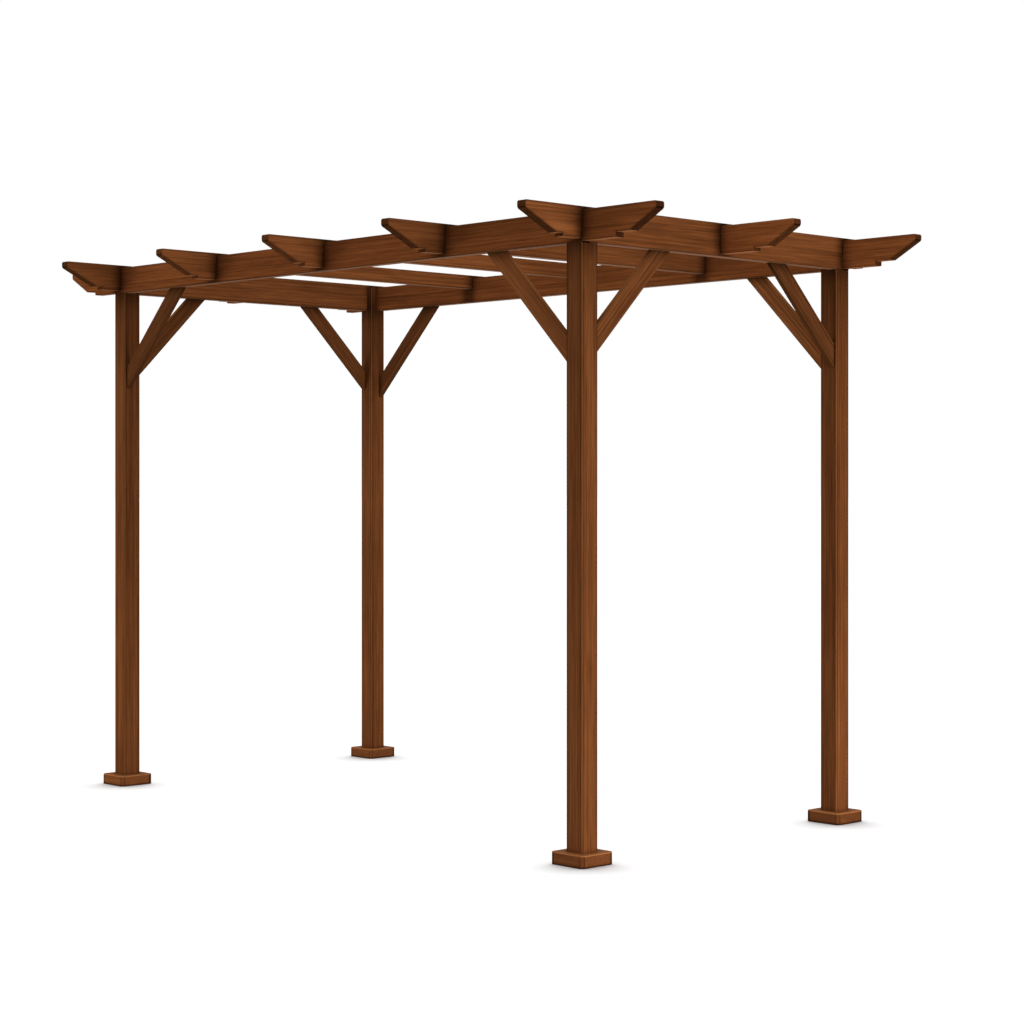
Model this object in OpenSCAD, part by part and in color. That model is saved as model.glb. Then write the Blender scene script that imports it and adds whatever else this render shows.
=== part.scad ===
// Wooden pergola: four posts on square base blocks carry two beams and five
// rafters with stepped tails, stiffened by eight knee braces.
// Units are millimetres, Z is up, X runs along the long side.
// The origin is on the floor at the middle of the plan.

/* [Layout] */
// Post centre to post centre along the long side
span_long = 2920; // [2400:10:3400]
// Post centre to post centre along the short side
span_short = 1460; // [1200:10:1800]
// Floor to the underside of the beams
head_h = 2238; // [2000:1:2500]

/* [Posts and base blocks] */
// Width of a square post
post_w = 82; // [72:1:96]
// Chamfer along the four edges of a post
post_cham = 4; // [1:0.5:7]
// Width of a square base block
base_w = 165; // [145:1:200]
// Height of a base block
base_h = 46; // [36:1:60]
// Chamfer on the top edges of a base block
base_cham = 5; // [2:0.5:8]
// Cut across the upright corners of a base block
base_corner = 12; // [4:1:20]
// Depth of the socket that takes the foot of the post
socket_d = 20; // [8:1:26]

/* [Long beams] */
// Thickness of a long beam
beam_t = 45; // [38:1:52]
// Depth of a long beam
beam_d = 116; // [100:1:140]
// Post centre to the tip of a long beam
beam_over = 400; // [320:1:480]

/* [Rafters] */
// Thickness of a rafter
rafter_t = 45; // [38:1:52]
// How far the rafters stand above the long beams
proud = 12; // [4:1:20]
// Post centre to the tip of a rafter
rafter_over = 322; // [260:1:400]
// Height of the cut-away under the left and middle inner rafters
relief = 64; // [48:1:72]
// Height of the cut-away under the right inner rafter, which is deeper
right_relief = 34; // [20:1:60]

/* [Tails] */
// How far the root of a beam tail is cut back above the beam underside
beam_lift = 4; // [2:1:9]
// The same for the short tails in the middle of either end
middle_lift = 9; // [4:1:11]
// The same for the root of a rafter tail
rafter_lift = 13; // [6:1:15]
// Height of the end face as a share of the depth
nose_share = 0.22; // [0.15:0.01:0.35]
// Depth of the step as a share of the depth
step_share = 0.19; // [0.12:0.01:0.28]
// Length of the slope under a beam tail as a share of the tail
beam_slope = 0.35; // [0.25:0.01:0.44]
// Length of the slope under a rafter tail as a share of the tail
rafter_slope = 0.55; // [0.42:0.01:0.6]
// Tip to step under a beam tail as a share of the tail
beam_step = 0.54; // [0.47:0.01:0.7]
// Tip to step under a rafter tail as a share of the tail
rafter_step = 0.66; // [0.62:0.01:0.78]

/* [Knee braces] */
// Leg of a brace under a beam, down the post and along the beam
beam_leg = 435; // [340:1:520]
// Leg of a brace under an end rafter, down the post and along the rafter
rafter_leg = 400; // [320:1:480]
// Thickness of a brace
brace_t = 24; // [18:1:36]
// Depth of a brace square to its length
brace_d = 70; // [54:1:84]

/* [Hidden] */

eps = 1;
rafter_d = beam_d + proud;
// Outer faces of the beams and end rafters are flush with the outer faces of the posts
out_x = span_long / 2 + post_w / 2;
out_y = span_short / 2 + post_w / 2;
// Tips of the long beams and of the rafters
tip_x = span_long / 2 + beam_over;
tip_y = span_short / 2 + rafter_over;
// Clear tail lengths outside the frame
tail_x = tip_x - out_x;
tail_y = tip_y - out_y;
// Centre lines of the end rafters and of the outer beams
end_x = out_x - rafter_t / 2;
edge_y = out_y - beam_t / 2;
// The three inner rafters share the space between the end rafters evenly
rafter_x = [-end_x, -end_x / 2, 0, end_x / 2, end_x];
// Height above the beam underside where each rafter sits in the beams
seat = [beam_d / 2, relief, relief, right_relief, beam_d / 2];

// Outline of a post with its edges taken off
module post_outline() {
  h = post_w / 2;
  c = post_cham;
  polygon([
    [-h + c, -h], [h - c, -h], [h, -h + c], [h, h - c],
    [h - c, h], [-h + c, h], [-h, h - c], [-h, -h + c]
  ]);
}

// Tail of a member from its root out to the tip and up to the top, on the positive side
function tail(tip, len, d, lift, slope, step) = [
  [tip - len, lift],
  [tip - len * step, lift],
  [tip - len * step, d * step_share],
  [tip - len * slope, d * step_share],
  [tip, d * (1 - nose_share)],
  [tip, d]
];

// The same tail on the negative side, listed so that the outline goes on round
function tail_back(tip, len, d, lift, slope, step) = [
  [-tip, d],
  [-tip, d * (1 - nose_share)],
  [-tip + len * slope, d * step_share],
  [-tip + len * step, d * step_share],
  [-tip + len * step, lift],
  [-tip + len, lift]
];

// A member lying along X, its outline given as distance along X and height above the beam underside
module along_x(y, t, pts) {
  translate([0, y + t / 2, head_h])
    rotate([90, 0, 0])
      linear_extrude(height = t)
        polygon(pts);
}

// A member lying along Y, its outline given as distance along Y and height above the beam underside
module along_y(x, t, pts) {
  translate([x - t / 2, 0, head_h])
    rotate([90, 0, 90])
      linear_extrude(height = t)
        polygon(pts);
}

// Base block with a socket for the post
module base(sx, sy) {
  h = base_w / 2;
  c = base_cham;
  k = base_corner;
  translate([sx * span_long / 2, sy * span_short / 2, 0])
    difference() {
      intersection() {
        linear_extrude(height = base_h)
          polygon([
            [-h + k, -h], [h - k, -h], [h, -h + k], [h, h - k],
            [h - k, h], [-h + k, h], [-h, h - k], [-h, -h + k]
          ]);
        translate([0, h + eps, 0])
          rotate([90, 0, 0])
            linear_extrude(height = base_w + 2 * eps)
              polygon([[-h, 0], [h, 0], [h, base_h - c], [h - c, base_h], [-h + c, base_h], [-h, base_h - c]]);
        translate([-h - eps, 0, 0])
          rotate([90, 0, 90])
            linear_extrude(height = base_w + 2 * eps)
              polygon([[-h, 0], [h, 0], [h, base_h - c], [h - c, base_h], [-h + c, base_h], [-h, base_h - c]]);
      }
      translate([0, 0, base_h - socket_d])
        linear_extrude(height = socket_d + eps)
          post_outline();
    }
}

// Post whose head is rebated on both outer sides, leaving the inner corner standing between the beams
module post(sx, sy) {
  foot = base_h - socket_d;
  translate([sx * span_long / 2, sy * span_short / 2, foot])
    difference() {
      linear_extrude(height = head_h + beam_d - foot)
        post_outline();
      // rebate for the beam
      translate([-post_w, sy > 0 ? post_w / 2 - beam_t : -post_w, head_h - foot])
        cube([2 * post_w, post_w / 2 + beam_t, beam_d + eps]);
      // rebate for the end rafter
      translate([sx > 0 ? post_w / 2 - rafter_t : -post_w, -post_w, head_h - foot])
        cube([post_w / 2 + rafter_t, 2 * post_w, beam_d + eps]);
    }
}

// Front or back beam, notched from above for every rafter
module outer_beam(y) {
  difference() {
    along_x(y, beam_t, concat(
      [[out_x, 0]],
      tail(tip_x, tail_x, beam_d, beam_lift, beam_slope, beam_step),
      tail_back(tip_x, tail_x, beam_d, beam_lift, beam_slope, beam_step),
      [[-out_x, 0]]
    ));
    for (i = [0 : 4])
      translate([
        rafter_x[i] - rafter_t / 2,
        y - beam_t,
        head_h + seat[i]
      ])
        cube([rafter_t, 2 * beam_t, beam_d]);
  }
}

// Tail fixed to the middle of the right end rafter's outer face
module right_tail() {
  along_x(0, beam_t, concat(
    tail(tip_x, tail_x, beam_d, middle_lift, beam_slope, beam_step),
    [[out_x, beam_d]]
  ));
}

// The same tail on the left end rafter
module left_tail() {
  along_x(0, beam_t, concat(
    [[-out_x, beam_d]],
    tail_back(tip_x, tail_x, beam_d, middle_lift, beam_slope, beam_step)
  ));
}

// Rafter over a pair of posts, full depth and notched from below over each beam
module end_rafter(i) {
  difference() {
    along_y(rafter_x[i], rafter_t, concat(
      [[out_y, 0]],
      tail(tip_y, tail_y, rafter_d, rafter_lift, rafter_slope, rafter_step),
      tail_back(tip_y, tail_y, rafter_d, rafter_lift, rafter_slope, rafter_step),
      [[-out_y, 0]]
    ));
    for (y = [-edge_y, edge_y])
      translate([rafter_x[i] - rafter_t, y - beam_t / 2, head_h - beam_d])
        cube([2 * rafter_t, beam_t, beam_d + seat[i]]);
  }
}

// Inner rafter, hooked over the outside of both beams and cut away underneath in between
module inner_rafter(i) {
  along_y(rafter_x[i], rafter_t, concat(
    tail(tip_y, tail_y, rafter_d, rafter_lift, rafter_slope, rafter_step),
    tail_back(tip_y, tail_y, rafter_d, rafter_lift, rafter_slope, rafter_step),
    [[-out_y, seat[i]], [out_y, seat[i]]]
  ));
}

// Outline of a brace with a given leg from a post face at p, leaning in the direction s
function brace_pts(p, s, leg) = [
  [p, -leg],
  [p, -leg + brace_d * sqrt(2)],
  [p + s * (leg - brace_d * sqrt(2)), 0],
  [p + s * leg, 0]
];

// Brace from a post up to the front or back beam
module beam_brace(sx, sy) {
  along_x(sy * edge_y, brace_t, brace_pts(sx * (span_long / 2 - post_w / 2), -sx, beam_leg));
}

// Brace from a post up to an end rafter
module rafter_brace(sx, sy) {
  along_y(sx * end_x, brace_t, brace_pts(sy * (span_short / 2 - post_w / 2), -sy, rafter_leg));
}

// Named sub-parts
module front_left_base() { color("saddlebrown") base(-1, -1); }
module front_right_base() { color("saddlebrown") base(1, -1); }
module back_left_base() { color("saddlebrown") base(-1, 1); }
module back_right_base() { color("saddlebrown") base(1, 1); }
module front_left_post() { color("sienna") post(-1, -1); }
module front_right_post() { color("sienna") post(1, -1); }
module back_left_post() { color("sienna") post(-1, 1); }
module back_right_post() { color("sienna") post(1, 1); }
module front_beam() { color("peru") outer_beam(-edge_y); }
module back_beam() { color("peru") outer_beam(edge_y); }
module left_middle_tail() { color("peru") left_tail(); }
module right_middle_tail() { color("peru") right_tail(); }
module left_end_rafter() { color("chocolate") end_rafter(0); }
module left_rafter() { color("chocolate") inner_rafter(1); }
module middle_rafter() { color("chocolate") inner_rafter(2); }
module right_rafter() { color("chocolate") inner_rafter(3); }
module right_end_rafter() { color("chocolate") end_rafter(4); }
module front_left_beam_brace() { color("tan") beam_brace(-1, -1); }
module front_right_beam_brace() { color("tan") beam_brace(1, -1); }
module back_left_beam_brace() { color("tan") beam_brace(-1, 1); }
module back_right_beam_brace() { color("tan") beam_brace(1, 1); }
module front_left_rafter_brace() { color("tan") rafter_brace(-1, -1); }
module front_right_rafter_brace() { color("tan") rafter_brace(1, -1); }
module back_left_rafter_brace() { color("tan") rafter_brace(-1, 1); }
module back_right_rafter_brace() { color("tan") rafter_brace(1, 1); }

front_left_base();
front_right_base();
back_left_base();
back_right_base();
front_left_post();
front_right_post();
back_left_post();
back_right_post();
front_beam();
back_beam();
left_middle_tail();
right_middle_tail();
left_end_rafter();
left_rafter();
middle_rafter();
right_rafter();
right_end_rafter();
front_left_beam_brace();
front_right_beam_brace();
back_left_beam_brace();
back_right_beam_brace();
front_left_rafter_brace();
front_right_rafter_brace();
back_left_rafter_brace();
back_right_rafter_brace();
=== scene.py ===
# %% [markdown]
# # A wooden pergola
# The packed frame knows where every timber goes. This lesson dresses each one as a piece of
# stained softwood: planed posts on base blocks, two long beams crossed by five rafters with
# stepped tails, and knee braces. The solids could just be given a wood material, but their edges
# are sharp and their points know nothing of the grain. So each solid is replaced by a skin of the
# same size.

# %% Load the frame
import math

import bmesh
import bpy
import numpy as np
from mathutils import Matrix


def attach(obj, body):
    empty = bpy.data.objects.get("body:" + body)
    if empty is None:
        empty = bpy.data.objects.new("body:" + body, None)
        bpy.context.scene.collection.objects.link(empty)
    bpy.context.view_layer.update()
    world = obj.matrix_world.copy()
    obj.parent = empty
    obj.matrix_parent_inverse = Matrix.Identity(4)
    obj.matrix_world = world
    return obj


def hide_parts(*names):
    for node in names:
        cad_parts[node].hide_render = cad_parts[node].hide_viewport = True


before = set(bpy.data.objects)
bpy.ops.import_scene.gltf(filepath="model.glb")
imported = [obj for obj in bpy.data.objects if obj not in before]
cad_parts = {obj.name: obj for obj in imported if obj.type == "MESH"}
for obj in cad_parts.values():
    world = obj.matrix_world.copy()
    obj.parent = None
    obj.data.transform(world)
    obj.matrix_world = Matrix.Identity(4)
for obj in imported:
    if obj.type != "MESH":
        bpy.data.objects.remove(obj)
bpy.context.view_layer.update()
print("timbers in the frame:", len(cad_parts))

# %% [markdown]
# ## Camera
# The pergola is seen from chest height by a level camera, so all posts stand upright in the
# picture. Tilting the camera to frame the roof would make them lean. So it is turned by a right
# angle about X and by its heading about Z, and the picture is framed by shifting the lens, as one
# does with buildings.

# %% Camera
CAMERA_AT = (7.024, -6.365, 1.374)
HEADING = math.radians(46.65)
LENS_MM, SENSOR_MM = 77.16, 36.0
SHIFT_X, SHIFT_Y = 0.0070, -0.0284
FAR_CLIP = 400.0

eye = bpy.data.cameras.new("eye")
eye.sensor_width = SENSOR_MM
eye.lens = LENS_MM
eye.shift_x = SHIFT_X
eye.shift_y = SHIFT_Y
eye.clip_end = FAR_CLIP
camera = bpy.data.objects.new("eye", eye)
camera.location = CAMERA_AT
camera.rotation_euler = (math.pi / 2, 0.0, HEADING)
bpy.context.scene.collection.objects.link(camera)
bpy.context.scene.camera = camera
bpy.context.scene.view_settings.view_transform = "Standard"
print("camera height", CAMERA_AT[2], "m, lens", LENS_MM, "mm")

# %% [markdown]
# ## White room
# The pergola stands in an even white. A world at full strength would look white, but it would
# bleach the wood as well. Instead a Light Path node tells two kinds of rays apart: the camera sees
# the world at full white, and as a lamp the same world is weaker.

# %% White room
WORLD_LIGHT = 0.52
WHITE = (1.0, 1.0, 1.0, 1.0)


def for_camera(nodes, links, otherwise, seen):
    """A strength that is `seen` for rays from the camera and `otherwise` for all other rays."""
    path = nodes.new("ShaderNodeLightPath")
    level = nodes.new("ShaderNodeMapRange")
    level.inputs["To Min"].default_value = otherwise
    level.inputs["To Max"].default_value = seen
    links.new(path.outputs["Is Camera Ray"], level.inputs["Value"])
    return level.outputs[0]


scene = bpy.context.scene
world = bpy.data.worlds.new("white_room")
world.use_nodes = True
scene.world = world
sky = world.node_tree.nodes["Background"]
sky.inputs["Color"].default_value = WHITE
strength = for_camera(world.node_tree.nodes, world.node_tree.links, WORLD_LIGHT, 1.0)
world.node_tree.links.new(strength, sky.inputs["Strength"])
print("world: white to the camera,", WORLD_LIGHT, "as a lamp")

# %% [markdown]
# ## Floor
# The floor is level and runs out of sight. A curved backdrop would do too, but one large face is
# enough, because floor and world are the same white. It is no part of the pergola, and it lies a
# hair low, so that it is not in one plane with the feet of the blocks.

# %% Floor
FLOOR_REACH, FLOOR_DROP = 160.0, 0.0004

rim = np.array([[-1, -1], [1, -1], [1, 1], [-1, 1]], float) * FLOOR_REACH
floor_mesh = bpy.data.meshes.new("floor")
floor_mesh.from_pydata(np.c_[rim, np.full(4, -FLOOR_DROP)].tolist(), [], [(0, 1, 2, 3)])
floor = bpy.data.objects.new("floor", floor_mesh)
scene.collection.objects.link(floor)
print("floor", 2 * FLOOR_REACH, "m wide")

# %% [markdown]
# ## Floor shading
# A pale floor in this light comes out grey, and one that glows has no shadows. So it is matt paint
# with some light of its own, for the camera only, that fades beside the base blocks. An Ambient
# Occlusion node measures how much of the space around a direction is open. The direction leans
# towards the back of the picture, where soft daylight would come from, so the strip in front of
# each block gets a short soft shadow.

# %% Floor shading
FLOOR_GREY = (0.80, 0.80, 0.80, 1.0)
FLOOR_GLOW = 0.70
SHADOW_REACH, SHADOW_DEPTH, SHADOW_SAMPLES = 0.20, 1.9, 8
LIGHT_SLANT = math.radians(53)

paper = bpy.data.materials.new("white_paper")
paper.use_nodes = True
nodes, links = paper.node_tree.nodes, paper.node_tree.links
nodes.remove(nodes["Principled BSDF"])
matt = nodes.new("ShaderNodeBsdfDiffuse")
matt.inputs["Color"].default_value = FLOOR_GREY
glow = nodes.new("ShaderNodeEmission")
links.new(for_camera(nodes, links, 0.0, FLOOR_GLOW), glow.inputs["Strength"])
lean = nodes.new("ShaderNodeCombineXYZ")
lean.inputs[0].default_value = -math.sin(HEADING) * math.sin(LIGHT_SLANT)
lean.inputs[1].default_value = math.cos(HEADING) * math.sin(LIGHT_SLANT)
lean.inputs[2].default_value = math.cos(LIGHT_SLANT)
open_sky = nodes.new("ShaderNodeAmbientOcclusion")
open_sky.samples = SHADOW_SAMPLES
open_sky.inputs["Distance"].default_value = SHADOW_REACH
links.new(lean.outputs[0], open_sky.inputs["Normal"])
deeper = nodes.new("ShaderNodeMath")
deeper.operation = "POWER"
deeper.inputs[1].default_value = SHADOW_DEPTH
links.new(open_sky.outputs["AO"], deeper.inputs[0])
links.new(deeper.outputs[0], glow.inputs["Color"])
both = nodes.new("ShaderNodeAddShader")
links.new(matt.outputs[0], both.inputs[0])
links.new(glow.outputs[0], both.inputs[1])
links.new(both.outputs[0], nodes["Material Output"].inputs["Surface"])
floor_mesh.materials.append(paper)
print("floor shadows reach", SHADOW_REACH, "m")

# %% [markdown]
# ## Lamps
# Two large soft lamps give the timbers a light side and a shaded side, and a third one fills the
# back. A sun would light all of them evenly too, but its shadows would have hard edges. The lamps
# light only the collection `timbers`, because on the floor they would wash away the faint shadows.

# %% Lamps
timbers = bpy.data.collections.new("timbers")


def soft_lamp(name, at, towards, size, watts, colour):
    """A square area lamp at a point, turned to face another point; it lights the timbers only."""
    lamp = bpy.data.lights.new(name, "AREA")
    lamp.size = size
    lamp.energy = watts
    lamp.color = colour
    look = np.array(towards) - np.array(at)
    drop = math.atan2(math.hypot(look[0], look[1]), -look[2])
    obj = bpy.data.objects.new(name, lamp)
    obj.location = at
    obj.rotation_euler = (drop, 0.0, math.atan2(look[1], look[0]) - math.pi / 2)
    obj.light_linking.receiver_collection = timbers
    scene.collection.objects.link(obj)


# Each lamp: its place, the point it faces, its side in metres, its watts and its colour
LAMPS = {
    "right_lamp": ((6.5, 0.4, 1.0), (1.4, 0.2, 1.0), 2.6, 258.0, (1.0, 0.96, 0.90)),
    "left_lamp": ((-5.5, -7.5, 1.6), (-1.0, -0.3, 1.4), 4.0, 335.0, (1.0, 0.96, 0.88)),
    "back_lamp": ((-6.0, 7.0, 1.6), (0.0, 0.0, 1.2), 4.0, 420.0, (1.0, 0.98, 0.95)),
}
for name, settings in LAMPS.items():
    soft_lamp(name, *settings)

# %% [markdown] ## Sizes A joiner works from a cutting list, and so do we. These are the sizes of
# the solids, in metres. NOSE and the steps and slopes are shares of the depth or length of a tail.
# What follows from other sizes, such as where the rafters lie, is worked out.

# %% Sizes
SPAN_X, SPAN_Y = 2.920, 1.460
HEAD = 2.238
POST, POST_CHAMFER = 0.082, 0.004
BASE, BASE_HIGH, SOCKET = 0.165, 0.046, 0.020
BEAM_THICK, BEAM_DEEP, BEAM_OVER = 0.045, 0.116, 0.400
RAFTER_THICK, RAFTER_DEEP, RAFTER_OVER = 0.045, 0.128, 0.322
RELIEF, RIGHT_RELIEF = 0.064, 0.034
BEAM_LIFT, MIDDLE_LIFT, RAFTER_LIFT = 0.004, 0.009, 0.013
NOSE, STEP = 0.22, 0.19
BEAM_SLOPE, BEAM_STEP = 0.35, 0.54
RAFTER_SLOPE, RAFTER_STEP = 0.55, 0.66
BEAM_LEG, RAFTER_LEG, BRACE_THICK, BRACE_DEEP = 0.435, 0.400, 0.024, 0.070

OUT_X, OUT_Y = SPAN_X / 2 + POST / 2, SPAN_Y / 2 + POST / 2
TIP_X, TIP_Y = SPAN_X / 2 + BEAM_OVER, SPAN_Y / 2 + RAFTER_OVER
END_X, EDGE_Y = OUT_X - RAFTER_THICK / 2, OUT_Y - BEAM_THICK / 2
RAFTER_X = END_X * np.array([-1.0, -0.5, 0.0, 0.5, 1.0])
SEAT = np.array([BEAM_DEEP / 2, RELIEF, RELIEF, RIGHT_RELIEF, BEAM_DEEP / 2])
CORNERS = {"front_left": (-1, -1), "front_right": (1, -1), "back_left": (-1, 1), "back_right": (1, 1)}
print("rafters every", round(END_X / 2, 4), "m, beams", round(2 * EDGE_Y, 4), "m apart")

# %% [markdown]
# ## From rings to a mesh
# Every timber here is a profile carried along a path: a stack of closed rings with the same number
# of points. One could also extrude and bevel, but in a stack of rings each point still knows where
# in the timber it lies. Neighbouring rings are joined by four-sided faces, and the two ends are
# closed by one face each. Three things are stored at the points for the finish: `grain`, the place
# inside the log (along, across, through), `edge`, the distance to the nearest arris as a share of
# EDGE_BAND, and `plank`, a number that makes each timber a different piece of wood.

# %% From rings to a mesh
EDGE_BAND = 0.010
CREASE = math.radians(32)


def store(mesh, name, values, kind="FLOAT", field="value"):
    """Keeps one number for each point, or one place, under a name that the finish can read."""
    kept = mesh.attributes.new(name, kind, "POINT")
    kept.data.foreach_set(field, np.asarray(values, np.float32).ravel())


def skin(name, rings, grain, edge, plank):
    """Joins K rings of N points: face (k, n) spans ring k to k + 1 and point n to n + 1.
    A negative volume, the sum of p . (q x r) / 6, means inside out, and turns the faces round."""
    k, n, _ = rings.shape
    points = rings.reshape(-1, 3)
    first = np.arange(k - 1)[:, None] * n
    here = first + np.arange(n)
    after = first + np.roll(np.arange(n), -1)
    quads = np.stack([here, after, after + n, here + n], axis=2).reshape(-1, 4)
    p, q, r, s = (points[quads[:, i]] for i in range(4))
    volume = np.sum(p * np.cross(q, r)) + np.sum(p * np.cross(r, s))
    for ring, sign in ((rings[0], -1), (rings[-1], 1)):
        middle = ring.mean(axis=0)
        volume += sign * np.sum(middle * np.cross(ring, np.roll(ring, -1, axis=0)))
    loop = np.arange(n)
    caps = [loop[::-1], loop + (k - 1) * n]
    if volume < 0:
        quads, caps = quads[:, ::-1], [cap[::-1] for cap in caps]
    mesh = bpy.data.meshes.new(name)
    mesh.from_pydata(points.tolist(), [], quads.tolist() + [cap.tolist() for cap in caps])
    mesh.polygons.foreach_set("use_smooth", np.ones(len(mesh.polygons), bool))
    mesh.set_sharp_from_angle(angle=CREASE)
    store(mesh, "grain", grain, "FLOAT_VECTOR", "vector")
    store(mesh, "edge", edge)
    store(mesh, "plank", np.full(len(points), plank))
    mesh.update()
    piece = bpy.data.objects.new(name, mesh)
    scene.collection.objects.link(piece)
    return piece, abs(volume) / 6


print("faces meet smoothly below", round(math.degrees(CREASE)), "degrees")

# %% [markdown]
# ## No two timbers alike
# Each timber is sawn from another place in another log, so the pith, the middle of the growth
# rings, lies somewhere beside it. That place could be set by hand. A random generator with a fixed
# seed is quicker, and gives the same woodpile on every run.

# %% No two timbers alike
PITH_NEAR, PITH_FAR = 0.025, 0.070
PLANKS = 50.0
chance = np.random.default_rng(7)


def pith():
    """Where the pith lies, across and through: a random distance to a random side."""
    away = chance.uniform(PITH_NEAR, PITH_FAR, 2)
    return away * chance.choice([-1, 1], 2)


def any_plank():
    """A number between 0 and PLANKS that shifts the whole pattern."""
    return chance.uniform(0, PLANKS)


print("the pith lies", PITH_NEAR, "to", PITH_FAR, "m to the side")

# %% [markdown]
# ## Taking the place of a solid
# A dressed timber stands for one solid, which stays in the model but is hidden. Some timbers are
# painted lighter or darker, as painted light and shade: 1 is the usual, more is paler and less is
# darker. A material for each timber could show that, but a number stored at its points, `depth`,
# lets timbers of a kind share a finish.

# %% Taking the place of a solid
PAINTED_LIGHT = {
    "back_right_post": 0.87,
    "back_right_base": 0.80, "front_left_base": 1.15, "back_left_base": 1.08,
    "back_beam": 1.22, "left_middle_tail": 1.40, "right_middle_tail": 1.40,
    "left_end_rafter": 1.12, "left_rafter": 1.40, "middle_rafter": 1.40, "right_rafter": 1.22,
    "front_left_beam_brace": 0.55, "front_left_rafter_brace": 0.57,
    "back_left_beam_brace": 0.60, "back_left_rafter_brace": 0.80,
    "back_right_beam_brace": 1.12, "back_right_rafter_brace": 0.48,
    "front_right_rafter_brace": 0.71,
}
wears = {}


def stands_for(piece, node, slot):
    """The piece takes the place of a solid, moves with the frame and wears one of its finishes."""
    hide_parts(node)
    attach(piece, "root")
    timbers.objects.link(piece)
    wears.setdefault(slot, []).append(piece)
    # Painted light and shade of this timber, stored as `depth`
    store(piece.data, "depth", np.full(len(piece.data.vertices), PAINTED_LIGHT.get(node, 1.0)))


# Counts the timbers that are painted lighter or darker
print(len(PAINTED_LIGHT), "timbers took the stain differently")

# %% [markdown]
# ## Posts
# A post is a planed square stick with its four long edges taken off. The foot stands in the socket
# of the base block. At the head both outer sides are cut back for the beam and the rafter, and only
# the inner corner goes on up. A Boolean could make that cut, but leaves faces of any shape. Here
# all points outside the corner are pushed to its two cut faces above the shoulder, and points that
# fall on each other there are merged.

# %% Post section
GUARD = 0.003


def post_section(cut):
    """A quarter goes from a point `cut` past the middle of a face, round the chamfer, to the next
    face. A point GUARD beside the chamfer keeps the face flat. Turning the quarter by 0, 90, 180
    and 270 degrees gives the whole section and its distances to the edge."""
    h, c = POST / 2, POST_CHAMFER
    back = np.array([h - cut, EDGE_BAND + c, c + GUARD, c])
    one = np.c_[np.full(len(back), h), h - back]
    mid = np.array([[h - c / 2, h - c / 2]])
    two = one[::-1, ::-1]
    quarter = np.concatenate([one, mid, two])
    away = np.r_[back - c / 4, 0.0, back[::-1] - c / 4]
    turned = [quarter, quarter[:, ::-1] * [-1, 1], -quarter, quarter[:, ::-1] * [1, -1]]
    return np.concatenate(turned), np.tile(np.minimum(away / EDGE_BAND, 1.0), 4)


print("post section with", len(post_section(0.0)[0]), "points")

# %% Posts
POST_RINGS = 24
MERGE = 1e-6


def post(name, sx, sy):
    """The section carried up from the socket to the shoulder, then the part inside the cut faces."""
    cut = BEAM_THICK - POST / 2
    section, away = post_section(cut)
    foot, top = BASE_HIGH - SOCKET, HEAD + BEAM_DEEP
    stick = np.r_[foot, np.linspace(BASE_HIGH, HEAD - GUARD, POST_RINGS), HEAD]
    heights = np.r_[stick, HEAD, top]
    outer = np.array([sx, sy])
    horn = outer * np.minimum(section * outer, -cut)
    flat = np.stack([section] * len(stick) + [horn] * 2)
    centre = np.array([sx * SPAN_X / 2, sy * SPAN_Y / 2])
    up = np.broadcast_to(heights[:, None, None], flat.shape[:2] + (1,))
    rings = np.concatenate([flat + centre, up], axis=2)
    grain = np.concatenate([up, flat + pith()], axis=2)
    piece, volume = skin(name, rings, grain, np.tile(away, (len(heights), 1)), any_plank())
    cleaner = bmesh.new()
    cleaner.from_mesh(piece.data)
    bmesh.ops.remove_doubles(cleaner, verts=cleaner.verts, dist=MERGE)
    cleaner.to_mesh(piece.data)
    cleaner.free()
    piece.data.set_sharp_from_angle(angle=CREASE)
    return piece, volume


for where, (sx, sy) in CORNERS.items():
    piece, volume = post(where + "_post_timber", sx, sy)
    stands_for(piece, where + "_post", "post_wood")
    print(piece.name, "volume", round(volume * 1000, 2), "litres")

# %% [markdown]
# ## Base blocks
# Each post stands in a low square block with its upright corners cut off and a softly broken top
# edge. A cube with a Bevel and a Boolean would come close. Here a section is carried from the
# underside out and up, over the top edge, across the top to the socket and down into it, so the
# block is one closed skin with a real hole. Its `edge` says more than elsewhere: up to PLAIN it is
# the distance to the top edge, and beyond that it marks the upright corner lines, which are drawn
# dark. On the two corners that face +X +Y and -X -Y the lines are wider, as painted shade.

# %% Base section
CORNER_CUT, CORNER_SOFT = 0.012, 0.003
STRAIGHT = np.array([0.0, 0.5, 0.84, 0.93])
BEND_BEFORE, BEND_AFTER = np.array([-1.0, -0.3]), np.array([0.3, 1.0])
BEND_IN = np.array([0.0, 0.1, 0.35, 1.0])


def cut_square(half, cut):
    """Each side runs straight to half - cut, through the shares STRAIGHT of that length; a flat
    facet takes off the corner. Four points round each end of the facet: BEND_BEFORE and BEND_AFTER
    say how far along the side they lie, and BEND_IN how far in from it."""
    soft = min(CORNER_SOFT, cut / 3)
    slant = soft / math.sqrt(2)
    edge = half - cut
    near = edge + np.r_[soft * BEND_BEFORE, slant * BEND_AFTER]
    far = half - slant * BEND_IN
    facet = np.c_[np.r_[far, near[::-1]], np.r_[near, far[::-1]]]
    straight = edge * STRAIGHT
    one = np.c_[np.full(len(straight), half), straight]
    two = one[:0:-1, ::-1]
    quarter = np.concatenate([one, facet, two])
    turned = [quarter, quarter[:, ::-1] * [-1, 1], -quarter, quarter[:, ::-1] * [1, -1]]
    return np.concatenate(turned)


print("base section with", len(cut_square(BASE / 2, CORNER_CUT)), "points")

# %% Base rings
TOP_ROUND, FOOT_BREAK, SOCKET_PLAY = 0.0035, 0.0015, 0.0002
CUT_TAPER, TOP_ARC = 0.6, 5
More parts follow.
